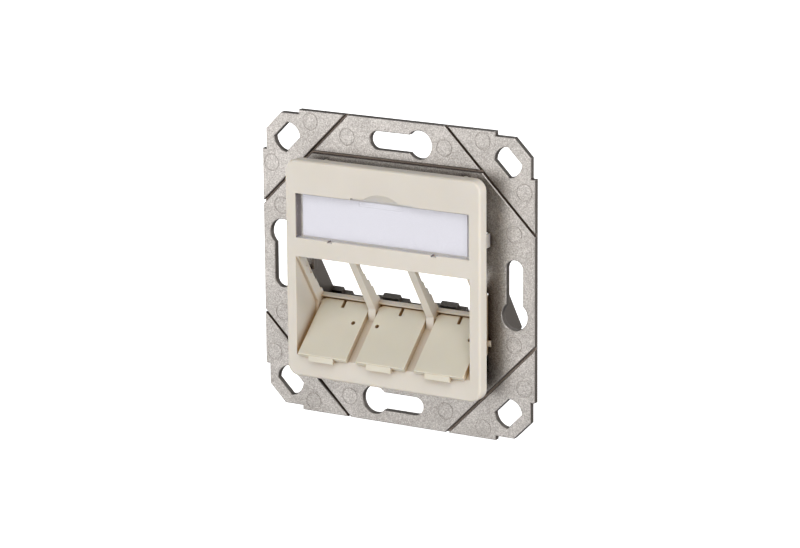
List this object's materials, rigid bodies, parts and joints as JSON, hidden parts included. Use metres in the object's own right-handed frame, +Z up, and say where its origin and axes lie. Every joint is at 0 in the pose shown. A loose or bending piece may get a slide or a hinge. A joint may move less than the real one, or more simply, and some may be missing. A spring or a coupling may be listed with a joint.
{
  "type": "angled data outlet insert",
  "caption": "Unpopulated angled data outlet insert: square cast support frame, raised square centre plate with clear label cover, sloping ports behind hinged dust flaps.",
  "frame": {"origin": "middle of the support frame's back face, on the wall plane", "axes": "+X to the right as seen from the room, +Y into the wall, +Z up"},
  "size_m": [0.07, 0.0217, 0.07],
  "materials": {
    "cast_metal": "as-cast, matt grey with a fine grain",
    "plate_plastic": "warm white moulding, satin",
    "paper": "blank white label paper",
    "clear_plastic": "clear polished moulding",
    "flap_plastic": "warm white moulding, satin"
  },
  "bodies": {
    "insert": {"support_frame": "cast_metal", "center_plate": "plate_plastic", "label_strip": "paper"},
    "cover": {"label_cover": "clear_plastic"},
    "flap_left": {"dust_flap_left": "flap_plastic"},
    "flap_center": {"dust_flap_center": "flap_plastic"},
    "flap_right": {"dust_flap_right": "flap_plastic"}
  },
  "joints": [
    {"name": "cover_lift", "type": "slide", "parent": "insert", "child": "cover", "axis": [0, -1, 0], "range_m": [0, 0.008]},
    {"name": "left_flap_hinge", "type": "hinge", "parent": "insert", "child": "flap_left", "pos_m": [-0.0151, 0.00175, -0.00993], "axis": [-1, 0, 0], "range_deg": [0, 95]},
    {"name": "center_flap_hinge", "type": "hinge", "parent": "insert", "child": "flap_center", "pos_m": [0, 0.00175, -0.00993], "axis": [-1, 0, 0], "range_deg": [0, 95]},
    {"name": "right_flap_hinge", "type": "hinge", "parent": "insert", "child": "flap_right", "pos_m": [0.0151, 0.00175, -0.00993], "axis": [-1, 0, 0], "range_deg": [0, 95]}
  ]
}
